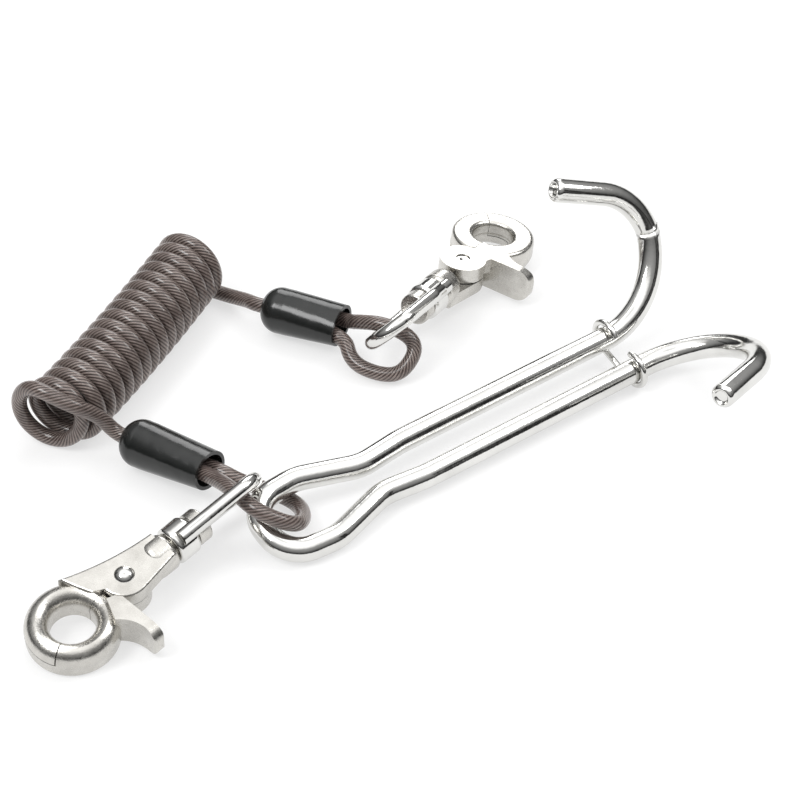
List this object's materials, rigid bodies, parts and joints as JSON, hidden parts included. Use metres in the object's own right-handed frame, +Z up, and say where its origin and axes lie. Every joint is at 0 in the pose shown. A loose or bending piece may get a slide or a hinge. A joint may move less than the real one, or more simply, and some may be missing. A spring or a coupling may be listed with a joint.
{
  "type": "double reef hook with coiled lanyard and swivel trigger snaps",
  "caption": "Stainless double reef hook bent from one rod, with a coiled wire-rope lanyard carrying a swivel trigger snap at each end",
  "frame": {"origin": "bottom centre of the bounding box of the metal pieces, on the table the object lies on", "axes": "+X to the right in the picture, +Y away from the viewer, +Z up"},
  "size_m": [0.1866, 0.1612, 0.0422],
  "materials": {
    "polished_steel": "mirror polished stainless steel",
    "cast_steel": "cast stainless steel, tumbled and polished to a satin shine",
    "spring_steel": "drawn spring wire",
    "crimped_aluminium": "pressed aluminium",
    "coated_wire_rope": "stranded wire rope seen through a clear smoky coat",
    "black_sleeve": "glossy black shrunk sleeve"
  },
  "bodies": {
    "hook_and_lanyard": {"hook_rod": "polished_steel", "coil": "coated_wire_rope", "near_lead": "coated_wire_rope", "near_loop": "coated_wire_rope", "far_lead": "coated_wire_rope", "far_loop": "coated_wire_rope", "near_sleeve": "black_sleeve", "far_sleeve": "black_sleeve", "near_ferrule": "crimped_aluminium", "far_ferrule": "crimped_aluminium", "near_bail": "polished_steel", "far_bail": "polished_steel"},
    "keeper": {"arm_keeper": "polished_steel"},
    "near_snap": {"near_snap_body": "cast_steel", "near_rivet": "polished_steel", "near_swivel_stud": "cast_steel", "near_trigger_spring": "spring_steel"},
    "near_trigger_arm": {"near_trigger": "cast_steel"},
    "far_snap": {"far_snap_body": "cast_steel", "far_rivet": "polished_steel", "far_swivel_stud": "cast_steel", "far_trigger_spring": "spring_steel"},
    "far_trigger_arm": {"far_trigger": "cast_steel"}
  },
  "joints": [
    {"name": "near_swivel", "type": "hinge", "parent": "hook_and_lanyard", "child": "near_snap", "pos_m": [-0.05429, -0.04656, 0.00998], "axis": [-0.6859, -0.7177, -0.1201], "continuous": true},
    {"name": "near_trigger_hinge", "type": "hinge", "parent": "near_snap", "child": "near_trigger_arm", "pos_m": [-0.06561, -0.0584, 0.008], "axis": [0.0311, -0.1939, 0.9805], "range_deg": [0, 30], "stiffness_Nm_per_rad": 0.02, "springref_deg": -20.05},
    {"name": "far_swivel", "type": "hinge", "parent": "hook_and_lanyard", "child": "far_snap", "pos_m": [0.00343, 0.04203, 0.00992], "axis": [0.5115, 0.8462, -0.1495], "continuous": true},
    {"name": "far_trigger_hinge", "type": "hinge", "parent": "far_snap", "child": "far_trigger_arm", "pos_m": [0.01187, 0.056, 0.00745], "axis": [-0.122, -0.1007, -0.9874], "range_deg": [0, 30], "stiffness_Nm_per_rad": 0.02, "springref_deg": -20.05},
    {"name": "keeper_slide", "type": "slide", "parent": "hook_and_lanyard", "child": "keeper", "axis": [-0.8028, -0.5962, -0.0077], "range_m": [-0.002, 0.058]}
  ]
}
